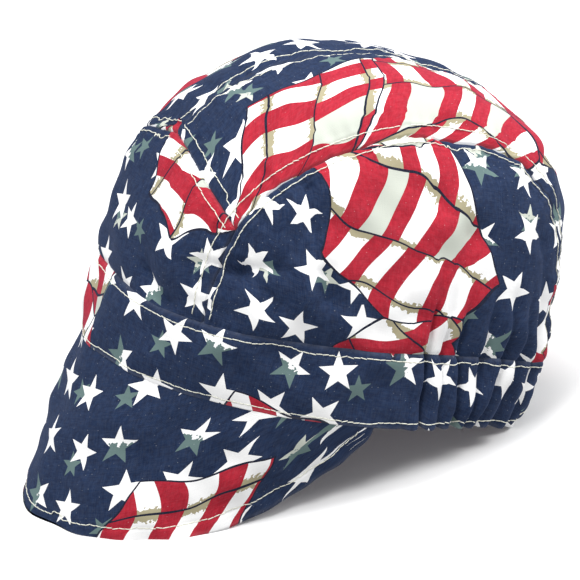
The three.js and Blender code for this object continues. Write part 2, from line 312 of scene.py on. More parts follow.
def on_form(ray):
    """Where rays from the origin meet the crown's form."""
    x, y, z = np.moveaxis(ray, -1, 0)
    reach = centre_reach(np.degrees(np.arctan2(z, -y)))
    out = np.abs(x) / (CROWN_WIDTH / 2)
    along = np.hypot(y, z) / reach
    size = (out**CROWN_SQUARENESS + along**CROWN_SQUARENESS) ** (1 / CROWN_SQUARENESS)
    return ray / size[..., None]


def at_section(out, angle):
    """The form's points at a distance out from the centre seam and an angle up from the front."""
    share = np.abs(out) / (CROWN_WIDTH / 2)
    reach = centre_reach(angle) * (1 - share**CROWN_SQUARENESS) ** (1 / CROWN_SQUARENESS)
    turn = np.radians(angle)
    return stacked(out, -reach * np.cos(turn), reach * np.sin(turn))


def solve(rising, target, low, high, halvings=40):
    """Where a rising function reaches its target."""
    low = np.zeros(np.shape(target)) + low
    high = np.zeros(np.shape(target)) + high
    for _ in range(halvings):
        middle = (low + high) / 2
        below = rising(middle) < target
        low = np.where(below, middle, low)
        high = np.where(below, high, middle)
    return (low + high) / 2


def at_height(height, around):
    """The form's points at a height, by angle from the front."""
    around = np.radians(np.asarray(around, float))

    def place(rise):
        rise = np.radians(rise)
        level = np.cos(rise)
        return on_form(stacked(np.sin(around) * level, -np.cos(around) * level, np.sin(rise)))

    target = np.full(around.shape, height)
    return place(solve(lambda rise: place(rise)[..., 2], target, 0, RISE_LIMIT))


def side_seam(angle):
    """The side seam's points, by angle up from the front."""
    return at_section(SIDE_SEAM_OUT * side_share(angle), angle)


def centre_seam(angle):
    """The centre seam's points, by angle up from the front."""
    return at_section(0 * angle, angle)


def foot_angle(seam):
    """The angle at which a seam, by rising angle, leaves the headband."""
    return float(solve(lambda angle: seam(angle)[..., 2], BAND_HEIGHT, 0, FOOT_LIMIT))


FRONT_FOOT = foot_angle(side_seam)
BACK_FOOT = 180 - foot_angle(lambda angle: side_seam(180 - angle))
CENTRE_FOOT = 180 - foot_angle(lambda angle: centre_seam(180 - angle))
FRONT_FOOT_AROUND = float(around_of(side_seam(FRONT_FOOT)))
BACK_FOOT_AROUND = float(around_of(side_seam(BACK_FOOT)))
CORNER_OUT = float(side_seam(CORNER_ANGLE)[0])


def chevron(share):
    """The front panel's upper seam, from the apex at 0 to the side seams at -1 and 1."""
    return at_section(share * CORNER_OUT, mix(APEX_ANGLE, CORNER_ANGLE, np.abs(share)))


# The seams of the left half as dense curves.
SEAMS = {
    "side": side_seam(np.linspace(FRONT_FOOT, BACK_FOOT, SEAM_POINTS)),
    "chevron": chevron(np.linspace(0, 1, SEAM_POINTS // 3)),
    "centre": centre_seam(np.linspace(APEX_ANGLE, CENTRE_FOOT, SEAM_POINTS)),
    "band": at_height(BAND_HEIGHT, np.linspace(0, 180, SEAM_POINTS)),
}


def gather_depth(around, height):
    """Depth of the elastic gathers, 0 on a ridge; they soften and fade above the band."""
    side, height = np.broadcast_arrays(np.abs(around), height)
    climb = np.clip(height / BAND_HEIGHT, 0, 1) - 0.5
    above = np.maximum(height - BAND_HEIGHT, 0)
    roundness = mix(*GATHER_ROUNDNESS, np.minimum(above / GATHER_SOFTENING, 1))
    depth = np.zeros(side.shape)
    for (here, valley, lean), (there, next_valley, next_lean) in zip(GATHERS, GATHERS[1:]):
        start = here + lean * climb
        end = there + next_lean * climb
        inside = (side > start) & (side <= end)
        share = ramp(side, start, end)
        pull = mix(valley, next_valley, share)
        fade = bell(above, mix(*GATHER_FADE, pull))
        ridge = np.sin(np.pi * share) ** roundness
        depth = np.where(inside, pull * fade * (1 - ridge), depth)
    return depth * GATHER_DEPTH


def sagged(place):
    """Gathered cloth with its ridges leaning back, drawn towards the band's middle at its edges."""
    height = place[..., 2]
    around = around_of(place)
    side = np.abs(around)
    depth = gather_depth(around, height)
    top = SAG_SHARE * bell(height - BAND_HEIGHT, SAG_REACH)
    foot = FOOT_SAG_SHARE * bell(height, SAG_REACH)
    first = GATHERS[0][0]
    gathered = ramp(side, first, first + LEAN_ENDS[0]) * ramp(180 - side, 0, LEAN_ENDS[1])
    fade = bell(np.maximum(height - BAND_HEIGHT, 0), GATHER_SOFTENING)
    lean = GATHER_LEAN * gathered * fade * (1 - depth / GATHER_DEPTH) * np.sign(around)
    turn = np.radians(around)
    drawn = place + stacked(np.cos(turn), np.sin(turn), 0 * turn) * lean[..., None]
    drawn[..., 2] = height + depth * (foot - top)
    return drawn


def nearest_on(points, curve):
    """Distance from points to a curve, and how far along the curve the nearest place is."""
    starts = curve[:-1]
    spans = np.diff(curve, axis=0)
    lengths = np.linalg.norm(spans, axis=1)
    before = lengths_along(curve)[:-1]
    flat = points.reshape(-1, 3)
    distance = np.empty(len(flat))
    along = np.empty(len(flat))
    for first in range(0, len(flat), BATCH):
        part = flat[first : first + BATCH]
        offset = part[:, None] - starts
        share = np.clip((offset * spans).sum(-1) / lengths**2, 0, 1)
        gap = np.linalg.norm(offset - share[..., None] * spans, axis=-1)
        best = gap.argmin(1)
        rows = np.arange(len(part))
        distance[first : first + BATCH] = gap[rows, best]
        along[first : first + BATCH] = before[best] + share[rows, best] * lengths[best]
    return distance.reshape(points.shape[:-1]), along.reshape(points.shape[:-1])


def fold_depth(place):
    """Depth of the folds, which fade out just above the headband."""
    fade = ramp(place[..., 2], BAND_HEIGHT, BAND_HEIGHT + FOLD_CLEAR)
    outward = unit(place)
    total = np.zeros(place.shape[:-1])
    for start, end, depth, left, right, roundness in FOLDS:
        line = np.array([at_height(up * CROWN_HEIGHT, around) for around, up in (start, end)])
        distance, _ = nearest_on(place, line)
        aside = (np.cross(line[1] - line[0], place - line[0]) * outward).sum(-1)
        width = np.where(aside > 0, left, right)
        total += fade * depth * np.exp(-((distance / width) ** roundness))
    return total


def relief_waves():
    """Wave vectors and phases of the soft relief."""
    chance = np.random.default_rng(RELIEF_SEED)
    lengths = chance.uniform(*RELIEF_LENGTHS, RELIEF_WAVES)
    directions = unit(chance.normal(size=(RELIEF_WAVES, 3)))
    return directions * (2 * np.pi / lengths)[:, None], chance.uniform(0, 2 * np.pi, RELIEF_WAVES)


WAVE_VECTORS, WAVE_PHASES = relief_waves()


def relief(place):
    """A soft uneven relief that runs on from piece to piece."""
    waves = np.sin(place @ WAVE_VECTORS.T + WAVE_PHASES).sum(-1)
    return RELIEF_DEPTH * waves / math.sqrt(RELIEF_WAVES)


def sewn_height(distance, along):
    """How the sewing lifts and dimples the cloth at a distance from a seam."""
    lift = 1 / (1 + np.exp((distance - ALLOWANCE) * ALLOWANCE_STEEPNESS))
    dip = SEAM_DIP * bell(distance, SEAM_DIP_WIDTH) + ROW_DIP * bell(distance - ROW_OFFSET, ROW_DIP_WIDTH)
    first, second = (2 * np.pi * along / period for period in PUCKER_PERIODS)
    wandering = np.sin(first + PUCKER_WANDER * np.sin(second / PUCKER_WANDER_PERIODS))
    pucker = (wandering + SECOND_PUCKER_SHARE * np.sin(second)) * bell(distance - ROW_OFFSET, PUCKER_WIDTH)
    return ALLOWANCE_RISE * lift - dip + PUCKER_DEPTH * pucker


def edge_puckers(along, length, wander_length, wander):
    """A wave along an edge, whose beat wanders."""
    return np.sin(along / length + wander * np.sin(along / wander_length))


class Piece:
    """The outer and inner skins of a cloth piece in the cap's frame, with what its mesh needs."""

    def __init__(self, outer, inner, wear, bulge, closed=False):
        self.outer = outer
        self.inner = inner
        self.wear = np.broadcast_to(wear, outer.shape[:2])
        self.bulge = bulge
        self.closed = closed


def between_seams(seams, u, v):
    """Points between the seams at the foot, top, start and end, for shares along and up."""
    bottom, top, start, end = seams
    left = (1 - u)[..., None]
    right = u[..., None]
    low = (1 - v)[..., None]
    high = v[..., None]
    first = np.zeros((1, 1))
    last = np.ones((1, 1))
    edges = bottom(u) * low + top(u) * high + start(v) * left + end(v) * right
    foot_corners = bottom(first) * left * low + bottom(last) * right * low
    top_corners = top(first) * left * high + top(last) * right * high
    return edges - foot_corners - top_corners


def panel(seams, sewn, puff, grid, side):
    """A panel of the crown, puffed out between its seams, folded, puckered and gathered."""
    u = steps(*grid[0])[:, None]
    v = steps(*grid[1])[None, :]
    place = on_form(between_seams(seams, u, v))
    outward = place - [0, 0, BAND_HEIGHT]
    outward[..., 2] = np.maximum(outward[..., 2], 0)
    outward = unit(outward)
    fullness = (1 - (2 * u - 1) ** PUFF_EDGE_POWER) * (1 - (2 * v - 1) ** PUFF_EDGE_POWER)
    own_side = [side, 1, 1]
    on_left = np.concatenate([np.abs(place[..., :1]), place[..., 1:]], axis=-1)
    height = puff * fullness - gather_depth(around_of(place), place[..., 2])
    height = height - fold_depth(place * own_side) + relief(place * own_side)
    wear = np.zeros(place.shape[:-1])
    for name in sewn:
        distance, along = nearest_on(on_left, SEAMS[name])
        height = height + sewn_height(distance, along + PUCKER_SHIFT * side)
        wear = np.maximum(wear, bell(distance, SEAM_WEAR_WIDTH))
    distance, _ = nearest_on(on_left, SEAMS["band"])
    height = height - BAND_SEAM_DIP * bell(distance, BAND_SEAM_DIP_WIDTH)
    outer = place + outward * height[..., None]
    inner = outer - outward * CLOTH_WALL
    return Piece(sagged(outer) * own_side, sagged(inner) * own_side, wear, PANEL_BULGE)


def crown_piece(side):
    """The long upper panel of one side, 1 for the left and -1 for the right."""
    seams = (
        lambda u: at_height(BAND_HEIGHT, mix(BACK_FOOT_AROUND, 180, u)),
        lambda u: chevron(1 - u),
        lambda v: side_seam(mix(BACK_FOOT, CORNER_ANGLE, v)),
        lambda v: centre_seam(mix(CENTRE_FOOT, APEX_ANGLE, v)),
    )
    return panel(seams, ("side", "chevron", "centre"), PUFF["crown"], CROWN_GRID, side)


def side_piece(side):
    """The ear panel of one side, 1 for the left and -1 for the right."""
    seams = (
        lambda u: at_height(BAND_HEIGHT, mix(FRONT_FOOT_AROUND, BACK_FOOT_AROUND, u)),
        lambda u: side_seam(mix(CORNER_ANGLE, BACK_CORNER_ANGLE, u)),
        lambda v: side_seam(mix(FRONT_FOOT, CORNER_ANGLE, v)),
        lambda v: side_seam(mix(BACK_FOOT, BACK_CORNER_ANGLE, v)),
    )
    return panel(seams, ("side",), PUFF["side"], SIDE_GRID, side)


def front_piece():
    """The shield-shaped front panel."""
    seams = (
        lambda u: at_height(BAND_HEIGHT, mix(-FRONT_FOOT_AROUND, FRONT_FOOT_AROUND, u)),
        lambda u: chevron(2 * u - 1),
        lambda v: side_seam(mix(FRONT_FOOT, CORNER_ANGLE, v)) * [-1, 1, 1],
        lambda v: side_seam(mix(FRONT_FOOT, CORNER_ANGLE, v)),
    )
    return panel(seams, ("side", "chevron"), PUFF["front"], FRONT_GRID, 1)


def opening(around):
    """The opening's oval, by angle from the front, at the headband's lower edge."""
    turn = np.radians(around)
    out = np.sin(turn)
    along = -np.cos(turn)
    reach = np.where(along < 0, OPENING_FRONT, OPENING_BACK)
    size = np.abs(along / reach) ** OPENING_SQUARENESS
    size = size + np.abs(out / (OPENING_WIDTH / 2)) ** OPENING_SQUARENESS
    return stacked(out, along, 0 * turn) * (size ** (-1 / OPENING_SQUARENESS))[..., None]


def on_band(around, height):
    """The headband's form, by angle from the front and height up to the crown."""
    return mix(opening(around), at_height(BAND_HEIGHT, around), height[..., None] / BAND_HEIGHT)


def foot_row(around):
    """Height of the band's lower row of stitches."""
    return mix(*BAND_FOOT_ROW, ramp(np.abs(around), *BAND_FOOT_ROW_TURN))


def band_piece():
    """The headband, a closed ring from the opening up to the crown's panels."""
    around = np.linspace(-180, 180, BAND_STEPS_ROUND, endpoint=False)[:, None]
    v = steps(*BAND_STEPS_UP)[None, :]
    height = v * (BAND_HEIGHT - SEAM_GAP / 2)
    place = on_band(around, height)
    outward = unit(place * [1, 1, 0])
    from_top = BAND_HEIGHT - height
    from_edge = np.minimum(from_top, height)
    girth = np.radians(around) * OPENING_WIDTH / 2
    depth = mix(*BAND_PUCKER_DEPTH, ramp(np.abs(around), *BAND_PUCKER_TURN))
    pucker = depth * edge_puckers(girth, *BAND_PUCKERS) * bell(from_edge, BAND_PUCKER_WIDTH)
    rows = bell(from_top - BAND_ROW, ROW_DIP_WIDTH) + bell(height - foot_row(around), ROW_DIP_WIDTH)
    lift = BAND_SPARE + BAND_BELLY * arch(v) - gather_depth(around, height)
    lift = lift + pucker - BAND_ROW_DIP * rows - BAND_ROLL * bell(from_top, BAND_ROLL_WIDTH)
    outer = place + outward * (lift + relief(place))[..., None]
    inner = outer - outward * BAND_WALL
    wear = bell(from_edge, EDGE_WEAR_WIDTH)
    return Piece(sagged(outer), sagged(inner), wear, BAND_BULGE, closed=True)


def peak_length(around):
    """Length of the peak from its root to its rim, by angle from the front."""
    share = np.minimum(np.abs(around) / PEAK_HALF_ANGLE, 1)
    taper = np.maximum(1 - share**PEAK_TAPER, 0) ** (1 / PEAK_ROUNDNESS)
    return (PEAK_LENGTH + PEAK_SPARE) * taper + PEAK_WALL / 2


def peak_form(u, v):
    """The peak's outer skin and its outward directions, from the rim at v = 0 to the root."""
    around = PEAK_HALF_ANGLE * np.sin((np.pi / 2) * (2 * u - 1))
    root = opening(around + 0 * v)
    ahead = opening(around + SMALL_TURN) - opening(around - SMALL_TURN)
    outward = unit(np.cross(ahead, np.array([0, 0, 1.0])))
    slope = np.radians(PEAK_FLARE - PEAK_TURN_IN * (1 - np.cos(np.radians(around))))
    down = (1 - v) * peak_length(around)
    belly = PEAK_BELLY * arch(v) * np.cos(np.radians(around))
    place = root + outward * (down * np.sin(slope) + belly)[..., None]
    place[..., 2] = -SEAM_GAP - down * np.cos(slope)
    return place, outward + 0 * place


def peak_piece():
    """The turned-down peak, from its rim to the headband."""
    u = steps(*PEAK_GRID[0])[:, None]
    v = steps(*PEAK_GRID[1])[None, :]
    place, outward = peak_form(u, v)
    distance, along = nearest_on(place, place[:, 0])
    pucker = edge_puckers(along, *PEAK_PUCKERS) * bell(distance - PEAK_ROW, PEAK_PUCKER_WIDTH)
    height = PEAK_PUCKER_DEPTH * pucker - PEAK_ROW_DIP * bell(distance - PEAK_ROW, ROW_DIP_WIDTH)
    here = peak_length(PEAK_HALF_ANGLE * np.abs(2 * u - 1))
    calm = np.minimum(here / PEAK_CALM_LENGTH, 1)
    outer = place + outward * ((height + relief(place)) * calm)[..., None]
    return Piece(outer, outer - outward * PEAK_WALL, bell(distance, EDGE_WEAR_WIDTH), PEAK_BULGE)


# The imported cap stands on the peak's tip and the back of the headband.
PITCH = math.atan2(
    SEAM_GAP + PEAK_LENGTH * math.cos(math.radians(PEAK_FLARE)),
    OPENING_FRONT + PEAK_LENGTH * math.sin(math.radians(PEAK_FLARE)) + OPENING_BACK,
)


def pitched(points):
    """The cap's frame pitched back onto the floor, not yet moved along it."""
    x, y, z = np.moveaxis(np.asarray(points, float), -1, 0)
    along = y * math.cos(PITCH) + z * math.sin(PITCH)
    up = z * math.cos(PITCH) - y * math.sin(PITCH) + OPENING_BACK * math.sin(PITCH)
    return stacked(x, along, up)


PEAK_TIP, _ = peak_form(np.array([[0.5]]), np.array([[0.0]]))
SHIFT_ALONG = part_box("peak")[0].y / MM - pitched(PEAK_TIP)[0, 0, 1]


def to_frame(points):
    """Points of the cap's own frame, settled beside the back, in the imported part's frame."""
    above = np.maximum(points[..., 2] - BAND_HEIGHT, 0)
    drop = settling(np.abs(around_of(points))) * bell(above, SETTLING_FADE)
    placed = pitched(points) + [0, SHIFT_ALONG, 0]
    placed[..., 2] = np.maximum(placed[..., 2] - drop, 0)
    return placed * MM


def normals_of(grid, closed):
    """Unit normals of a grid of points."""
    if closed:
        wide = np.concatenate([grid[-1:], grid, grid[:1]])
        along = (wide[2:] - wide[:-2]) / 2
    else:
        along = np.gradient(grid, axis=0)
    return unit(np.cross(along, np.gradient(grid, axis=1)))


def rounded_edge(outer, inner, beyond, bulge):
    """Points that turn from the outer skin's edge round to the inner skin's edge."""
    turns = np.linspace(0, np.pi, EDGE_STEPS + 2)[1:-1]
    middle = (outer + inner) / 2
    half = (outer - inner) / 2
    reach = np.linalg.norm(half, axis=-1, keepdims=True) * bulge
    out = unit(beyond)
    return np.stack([middle + half * np.cos(t) + out * reach * np.sin(t) for t in turns], axis=1)


def cloth_points(piece):
    """The points round a piece's two skins and its edges, column by column."""
    outer = piece.outer
    inner = piece.inner
    top = rounded_edge(outer[:, -1], inner[:, -1], outer[:, -1] - outer[:, -2], piece.bulge)
    foot = rounded_edge(outer[:, 0], inner[:, 0], outer[:, 0] - outer[:, 1], piece.bulge)
    return np.concatenate([outer, top, inner[:, ::-1], foot[:, ::-1]], axis=1)


def cloth_faces(piece, columns, around):
    """The faces between a piece's columns of points, and across its first and last column."""
    column = np.arange(columns if piece.closed else columns - 1)[:, None]
    spot = np.arange(around)[None, :]
    after = (column + 1) % columns
    ahead = (spot + 1) % around
    places = ((column, spot), (after, spot), (after, ahead), (column, ahead))
    corners = [line * around + place for line, place in places]
    quads = np.stack(np.broadcast_arrays(*corners), axis=-1).reshape(-1, 4)
    if not piece.closed:
        half = around // 2
        near = (np.arange(half) - EDGE_STEPS // 2) % around
        partner = (around - 1 - np.arange(half) - EDGE_STEPS // 2) % around
        end = np.stack([near[:-1], near[1:], partner[1:], partner[:-1]], axis=-1)
        quads = np.concatenate([quads, end, end[:, ::-1] + (columns - 1) * around])
    from_middle = piece.outer - [0, 0, BAND_HEIGHT]
    if (from_middle * normals_of(piece.outer, piece.closed)).sum() < 0:
        quads = quads[:, ::-1]
    return quads.tolist()


def looped(grid):
    """Values of the outer skin carried on round the edges and over the inner skin."""
    top = np.repeat(grid[:, -1:], EDGE_STEPS, axis=1)
    foot = np.repeat(grid[:, :1], EDGE_STEPS, axis=1)
    return np.concatenate([grid, top, grid[:, ::-1], foot], axis=1)


def print_places(piece, layout):
    """Where a piece's points lie on the flat print, with 1 as third value on the inner skin."""
    angle, shift_x, shift_y = layout
    turn = math.radians(angle)
    across = lengths_along(piece.outer, axis=1)
    along = lengths_along(piece.outer, axis=0)
    along = along - along[len(along) // 2]
    if piece.closed:
        along = along.mean(axis=1, keepdims=True)
    x = looped(along * math.cos(turn) - across * math.sin(turn) + shift_x)
    y = looped(along * math.sin(turn) + across * math.cos(turn) + shift_y)
    rows = across.shape[1]
    inner_start = rows + EDGE_STEPS // 2
    inside = np.zeros(x.shape)
    inside[:, inner_start : inner_start + rows + EDGE_STEPS] = 1
    return stacked(x, y, inside)


def add_thing(name, points, faces, material):
    """A smooth mesh of one material, in the scene."""
    mesh = bpy.data.meshes.new(name)
    mesh.from_pydata(points, [], faces)
    mesh.update()
    mesh.polygons.foreach_set("use_smooth", np.ones(len(faces), bool))
    mesh.materials.append(material)
    thing = bpy.data.objects.new(name, mesh)
    bpy.context.scene.collection.objects.link(thing)
    return thing


def add_cloth(name, piece, layout, material):
    """A closed mesh of a cloth piece, with attributes that place its print and its wear."""
    points = cloth_points(piece)
    columns, around = points.shape[:2]
    faces = cloth_faces(piece, columns, around)
    thing = add_thing(name, to_frame(points.reshape(-1, 3)), faces, material)
    cloth = thing.data.attributes.new("cloth", "FLOAT_VECTOR", "POINT")
    cloth.data.foreach_set("vector", print_places(piece, layout).astype(np.float32).ravel())
    wear = thing.data.attributes.new("wear", "FLOAT", "POINT")
    wear.data.foreach_set("value", looped(piece.wear).astype(np.float32).ravel())
    return thing


def srgb(red, green, blue):
    """A colour given in 0-255 display values, as the linear one that shaders take."""
    shares = [value / 255 for value in (red, green, blue)]
    linear = [s / 12.92 if s < 0.04045 else ((s + 0.055) / 1.055) ** 2.4 for s in shares]
    return (*linear, 1)


NAVY = srgb(31, 48, 79)
DEEP_NAVY = srgb(20, 33, 60)
RED = srgb(182, 38, 55)
DEEP_RED = srgb(158, 26, 43)
WHITE = srgb(254, 254, 254)
PALE_GREEN = srgb(200, 205, 194)
MID_GREEN = srgb(98, 120, 118)
TAN = srgb(168, 160, 130)
OUTLINE = srgb(20, 24, 44)
BARE_THREAD = srgb(168, 174, 190)
FLECK = srgb(206, 212, 216)
WORN = srgb(200, 202, 208)
WRONG_SIDE = srgb(205, 207, 214)
THREAD = srgb(236, 236, 222)
THREAD_SHADE = srgb(190, 190, 172)
SHEEN_TINT = srgb(150, 180, 255)
FLOOR = srgb(244, 244, 244)

# The patches of the print, in millimetres of flat cloth, as are all sizes of the print.
PATCH_SIZE = 70
PATCH_RANDOMNESS = 0.9
PATCH_WANDER = 13
PATCH_WANDER_SIZE = 55
PATCH_WANDER_SHIFT = (311, -97)
STRIPED_SHARE = 0.45
OUTLINE_WIDTH = 0.45
BRUSH_SIZE = 1.9

# The stripes and the fold lines across them. A draw from 0 to 1 for each stretch of stripe says
# where white turns pale green, where tan is brushed on, and how far.
STRIPE_WIDTH = 10
STRIPE_WAVE = 4.5
STRIPE_WAVE_LENGTH = 17
STRIPE_SHIFT = 7
FOLD_SPACING = 25
FOLD_WOBBLE = 0.11
FOLD_WOBBLE_LENGTH = 13
PALE_STRIPES_OVER = 0.93
TAN_STRIPES_UNDER = 0.75
TAN_REACH = (0.6, 5.1)
TAN_BRUSH = 2.6
RED_BRUSH_SHARE = 0.5

# The stars: white ones, of which some are brushed with grey-green, over smaller grey-green ones.
# The draws, from 0 to 1 for each star, say which are brushed, pale or there at all.
STAR_POINTS = 5
STAR_NOTCH = 0.4
STAR_RADIUS = (8.5, 10.3)
STAR_SPACING = 26
STAR_RANDOMNESS = 0.4
STAR_BRUSH = 3.5
STAR_BRUSH_START = 0.5
STAR_BRUSH_TURN = 9
BRUSHED_STARS_OVER = 0.76
SMALL_STAR_SHARE = 0.72
SMALL_STAR_SPACING = 32.5
SMALL_STAR_SHIFT = 13.7
SMALL_STARS_OVER = 0.5
PALE_STARS_OVER = 0.5

# The uneven dye (size, detail and roughness), the threads, the flecks and the wear.
MOTTLE_GRAIN = (2.6, 4, 0.75)
MOTTLE_SWING = 1.5
MOTTLE_SHARE = 0.45
THREAD_SIZE = 0.5
THREAD_STRETCH = 14
THREAD_SWING = 0.028
THREAD_SHARE = 0.013
FLECK_SPACING = 3.4
FLECK_SIZE = 0.2
FLECKS_OVER = 0.72
FLECK_SHARE = (0.04, 0.26)
WEAR_SIZE = 5
WEAR_SWING = 0.05
WEAR_SHARE = 0.05
WRONG_SIDE_SHARE = 0.45

# The surface of the cotton and of the thread. Bump distances are in metres, and the thread's
# fibres and blotches are so many to a metre.
WEAVE_SPACING = 0.42
WEAVE_SHARE = 0.5
WEAVE_THREAD_SHARE = 0.6
ROUGHNESS_SIZE = 9
ROUGHNESS_SWING = 0.06
COTTON_ROUGHNESS = 0.86
COTTON_BUMP = {"Strength": 0.35, "Distance": 0.00012}
COTTON_GLOSS = {
    "Specular IOR Level": 0.18,
    "Sheen Weight": 0.05,
    "Sheen Roughness": 0.5,
    "Sheen Tint": SHEEN_TINT,
}
FIBRE_DENSITY = 2600
BLOTCH_DENSITY = 140
BLOTCH_SHARE = 0.35
THREAD_BUMP = {"Strength": 0.5, "Distance": 0.0001}
THREAD_ROUGHNESS = (0.75, 0.85)
THREAD_GLOSS = {"Sheen Weight": 0.15}


def fill(place, value):
    """Links a field to an input of a node, or sets a value there."""
    if isinstance(value, Field):
        value.socket.id_data.links.new(value.socket, place)
    else:
        place.default_value = value


def operation(name):
    """A method that puts its field and the others through a math node."""

    def method(self, *others):
        node = self.socket.id_data.nodes.new("ShaderNodeMath")
        node.operation = name
        for place, term in zip(node.inputs, (self, *others)):
            fill(place, term)
        return Field(node.outputs[0])

    return method


class Field:
    """A value that varies over the cloth: the output of a shader node."""

    def __init__(self, socket):
        self.socket = socket

    __add__ = operation("ADD")
    __sub__ = operation("SUBTRACT")
    __mul__ = operation("MULTIPLY")
    __truediv__ = operation("DIVIDE")
    __lt__ = operation("LESS_THAN")
    __gt__ = operation("GREATER_THAN")
    abs = operation("ABSOLUTE")
    floor = operation("FLOOR")
    fract = operation("FRACT")
    sin = operation("SINE")
    cos = operation("COSINE")
    root = operation("SQRT")
    angle_over = operation("ARCTAN2")
    or_less = operation("MINIMUM")

    def between(self, low, high):
        """Runs from low to high where this value runs from 0 to 1."""
        return self * (high - low) + low


def node_of(near, kind, **values):
    """A node in the tree of a field; values named as inputs are set or linked."""
    node = near.socket.id_data.nodes.new(kind)
    for name, value in values.items():
        if hasattr(node, name):
            setattr(node, name, value)
        else:
            fill(node.inputs[name], value)
    return node


def field_of(near, kind, **values):
    """The first output of such a node."""
    return Field(node_of(near, kind, **values).outputs[0])


def attribute(tree, name, output):
    """A value that is stored on the mesh."""
    node = tree.nodes.new("ShaderNodeAttribute")
    node.attribute_name = name
    return node.outputs[output]


def point(x, y):
    """A place on the flat cloth."""
    return field_of(x, "ShaderNodeCombineXYZ", X=x, Y=y)


def noise(place, size, detail=2.0, roughness=0.5):
    """Noise about 0, from -1 to 1, with features of a size in millimetres."""
    grain = {"Scale": 1 / size, "Detail": detail, "Roughness": roughness}
    drawn = field_of(place, "ShaderNodeTexNoise", noise_dimensions="2D", Vector=place, **grain)
    return (drawn - 0.5) * 2


def cells(place, size, randomness, feature="F1"):
    """Cells round scattered middles."""
    spread = {"feature": feature, "Scale": 1 / size, "Randomness": randomness}
    return node_of(place, "ShaderNodeTexVoronoi", voronoi_dimensions="2D", Vector=place, **spread)


def parts(socket):
    """The three values of a vector or a colour."""
    node = socket.id_data.nodes.new("ShaderNodeSeparateXYZ")
    socket.id_data.links.new(socket, node.inputs[0])
    return [Field(output) for output in node.outputs]


def layer(under, over, mask):
    """One colour laid over another where the mask is 1."""
    node = mask.socket.id_data.nodes.new("ShaderNodeMix")
    node.data_type = "RGBA"
    for name, value in (("Factor_Float", mask), ("A_Color", under), ("B_Color", over)):
        fill(next(s for s in node.inputs if s.identifier == name), value)
    return Field(next(s for s in node.outputs if s.identifier == "Result_Color"))


def star(x, y, turn, radius):
    """1 inside a star of that radius."""
    step = 2 * math.pi / STAR_POINTS
    angle = y.angle_over(x) + turn
    folded = (((angle / step) + 0.5).fract() - 0.5).abs() * step
    reach = (x * x + y * y).root()
    notch_x = STAR_NOTCH * math.cos(step / 2)
    notch_y = STAR_NOTCH * math.sin(step / 2)
    edge = reach * folded.cos() * notch_y + reach * folded.sin() * (1 - notch_x)
    return edge < radius * notch_y


def star_field(x, y, spacing, size_share, brush):
    """Scattered stars: where they and their brushed parts are, and two draws for each star."""
    found = cells(point(x, y), spacing, STAR_RANDOMNESS)
    centre_x, centre_y, _ = parts(found.outputs["Position"])
    turn_draw, size_draw, kind_draw = parts(found.outputs["Color"])
    across = x - centre_x
    up = y - centre_y
    radius = size_draw.between(*STAR_RADIUS) * size_share
    shape = star(across, up, turn_draw * (2 * math.pi), radius)
    brush_turn = turn_draw * STAR_BRUSH_TURN
    tilt = across * brush_turn.cos() + up * brush_turn.sin()
    brushed = (tilt + brush * STAR_BRUSH) > STAR_BRUSH_START
    return shape, brushed, size_draw, kind_draw


def star_cloth(x, y, brush, mottle):
    """Navy cloth with white stars over smaller grey-green ones."""
    colour = layer(NAVY, DEEP_NAVY, mottle)
    apart = (x + SMALL_STAR_SHIFT, y + SMALL_STAR_SHIFT)
    small = (SMALL_STAR_SPACING, SMALL_STAR_SHARE)
    shape, brushed, size_draw, kind_draw = star_field(*apart, *small, brush)
    tone = layer(MID_GREEN, PALE_GREEN, brushed * (size_draw > PALE_STARS_OVER))
    colour = layer(colour, tone, shape * (kind_draw > SMALL_STARS_OVER))
    shape, brushed, _, kind_draw = star_field(x, y, STAR_SPACING, 1, brush)
    mixed = layer(MID_GREEN, WHITE, brushed)
    tone = layer(WHITE, mixed, kind_draw > BRUSHED_STARS_OVER)
    return layer(colour, tone, shape)


def striped_cloth(x, y, brush, mottle):
    """Wavy red and white stripes, crossed by fold lines with tan brushwork on the white."""
    run = x / FOLD_SPACING + (y / FOLD_WOBBLE_LENGTH).sin() * FOLD_WOBBLE
    fold = run.floor()
    from_fold = ((run.fract() - 0.5).abs() * -1 + 0.5) * FOLD_SPACING
    shift = field_of(fold, "ShaderNodeTexWhiteNoise", noise_dimensions="1D", W=fold) * STRIPE_SHIFT
    wave = (x / STRIPE_WAVE_LENGTH).sin() * STRIPE_WAVE
    stripe = (y + wave + shift) / STRIPE_WIDTH
    red = (stripe / 2).fract() < 0.5
    stretch = point(stripe.floor(), fold)
    draw = field_of(stretch, "ShaderNodeTexWhiteNoise", noise_dimensions="2D", Vector=stretch)
    plain = layer(WHITE, PALE_GREEN, draw > PALE_STRIPES_OVER)
    brushed = (from_fold + brush * TAN_BRUSH) < draw.between(*TAN_REACH)
    pale = layer(plain, TAN, brushed * (draw < TAN_STRIPES_UNDER))
    deep = layer(RED, DEEP_RED, brushed * RED_BRUSH_SHARE + mottle)
    cloth = layer(pale, deep, red)
    return layer(cloth, OUTLINE, from_fold < OUTLINE_WIDTH)


